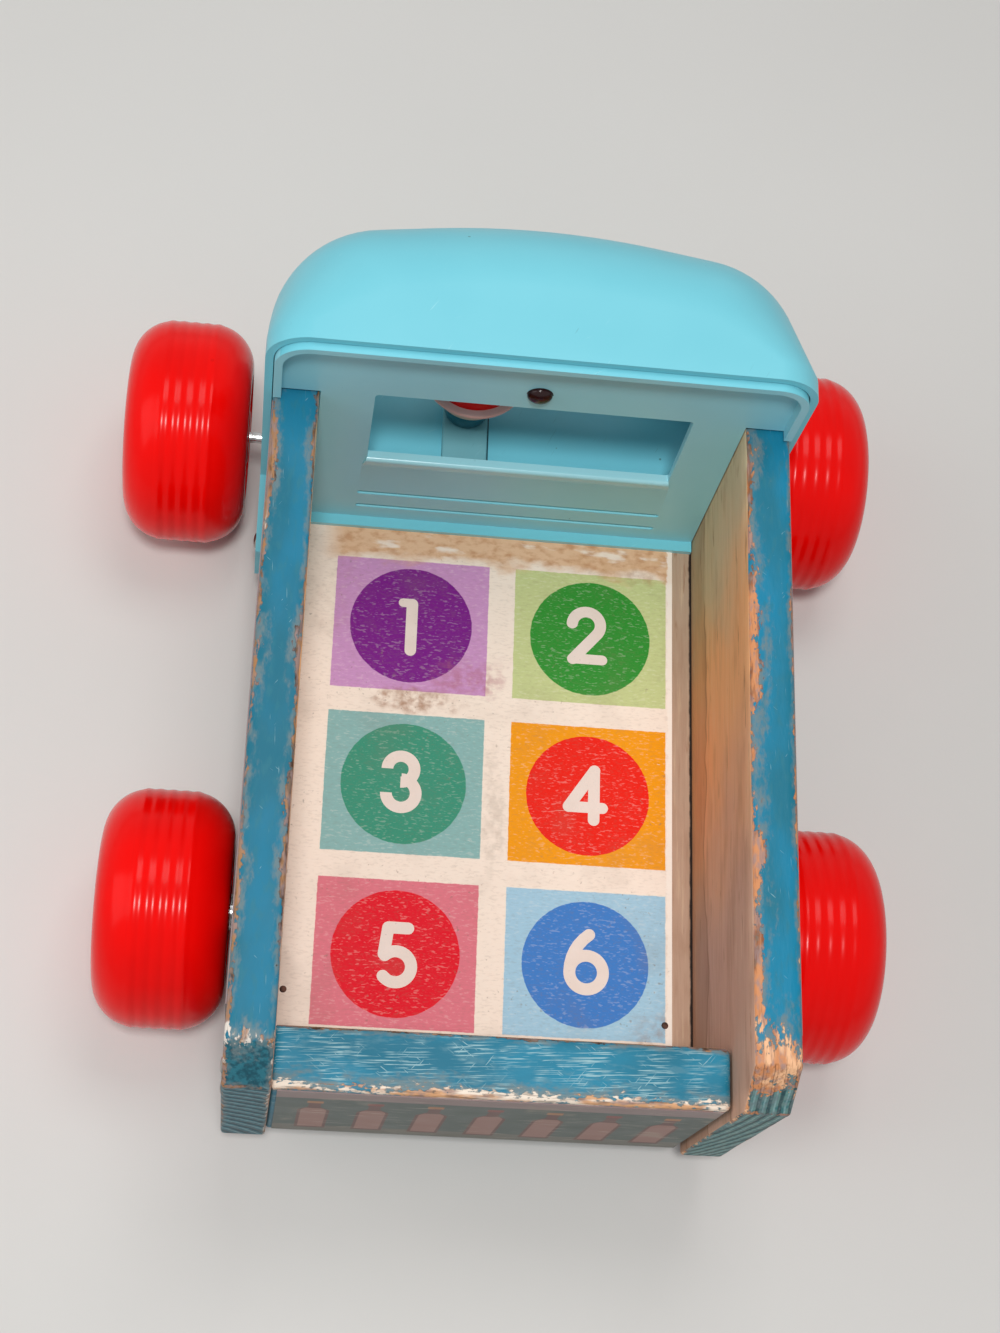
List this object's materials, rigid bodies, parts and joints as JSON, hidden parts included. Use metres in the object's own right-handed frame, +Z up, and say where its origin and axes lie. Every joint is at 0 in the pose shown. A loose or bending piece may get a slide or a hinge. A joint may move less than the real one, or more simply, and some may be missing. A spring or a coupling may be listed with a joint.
{
  "type": "pull toy milk wagon",
  "caption": "Pull-along toy milk wagon with a wooden cargo box, a moulded cab, fat wheels and a driver that turns as it rolls.",
  "frame": {"origin": "on the ground under the middle of the box round the whole wagon", "axes": "+Y forward from the tailgate to the cab, +X to the wagon's right, +Z up"},
  "size_m": [0.2206, 0.2417, 0.1375],
  "materials": {
    "painted_wood": "worn teal paint",
    "bare_wood": "bare softwood",
    "number_paper": "printed paper",
    "picture_paper": "printed paper",
    "nail_steel": "dull steel",
    "cab_plastic": "satin moulded plastic",
    "rivet_paint": "satin",
    "deck_plastic": "satin",
    "seat_plastic": "satin",
    "turned_wood": "bare turned wood",
    "disc_rubber": "matt",
    "blue_paint": "gloss paint",
    "face_paint": "gloss paint",
    "brim_paint": "gloss paint",
    "red_paint": "gloss paint",
    "axle_steel": "bright steel",
    "wheel_paint": "gloss paint",
    "eyelet_brass": "dull brass"
  },
  "bodies": {
    "wagon": {"base_board": "bare_wood", "left_side_board": "painted_wood", "right_side_board": "painted_wood", "tailgate_board": "painted_wood", "number_sheet": "number_paper", "left_side_sheet": "picture_paper", "right_side_sheet": "picture_paper", "tailgate_sheet": "picture_paper", "board_nails": "nail_steel", "floor_pins": "nail_steel", "cab_shell": "cab_plastic", "cab_back_panel": "cab_plastic", "panel_rivet": "rivet_paint", "cab_nails": "nail_steel", "cab_deck": "deck_plastic", "deck_screws": "nail_steel", "driver_seat": "seat_plastic", "cord_eyelet": "eyelet_brass"},
    "front_wheel_set": {"front_axle": "axle_steel", "front_left_wheel": "wheel_paint", "front_right_wheel": "wheel_paint", "front_axle_caps": "axle_steel", "friction_wheel": "disc_rubber"},
    "rear_wheel_set": {"rear_axle": "axle_steel", "rear_left_wheel": "wheel_paint", "rear_right_wheel": "wheel_paint", "rear_axle_caps": "axle_steel", "rear_spacer_rings": "axle_steel"},
    "driver": {"driver_spindle": "turned_wood", "friction_disc": "disc_rubber", "driver_body": "blue_paint", "driver_head": "face_paint", "cap_brim": "brim_paint", "cap_crown": "red_paint"}
  },
  "joints": [
    {"name": "front_wheel_spin", "type": "hinge", "parent": "wagon", "child": "front_wheel_set", "pos_m": [0.0019, 0.08095, 0.0323], "axis": [1, 0, 0], "continuous": true},
    {"name": "rear_wheel_spin", "type": "hinge", "parent": "wagon", "child": "rear_wheel_set", "pos_m": [0.0019, -0.06335, 0.0323], "axis": [1, 0, 0], "continuous": true},
    {"name": "driver_spin", "type": "hinge", "parent": "wagon", "child": "driver", "pos_m": [-0.0121, 0.08095, 0.0583], "axis": [0, 0, 1], "continuous": true}
  ],
  "couplings": [
    {"joint": "driver_spin", "follows": "front_wheel_spin", "ratio": -0.75}
  ]
}
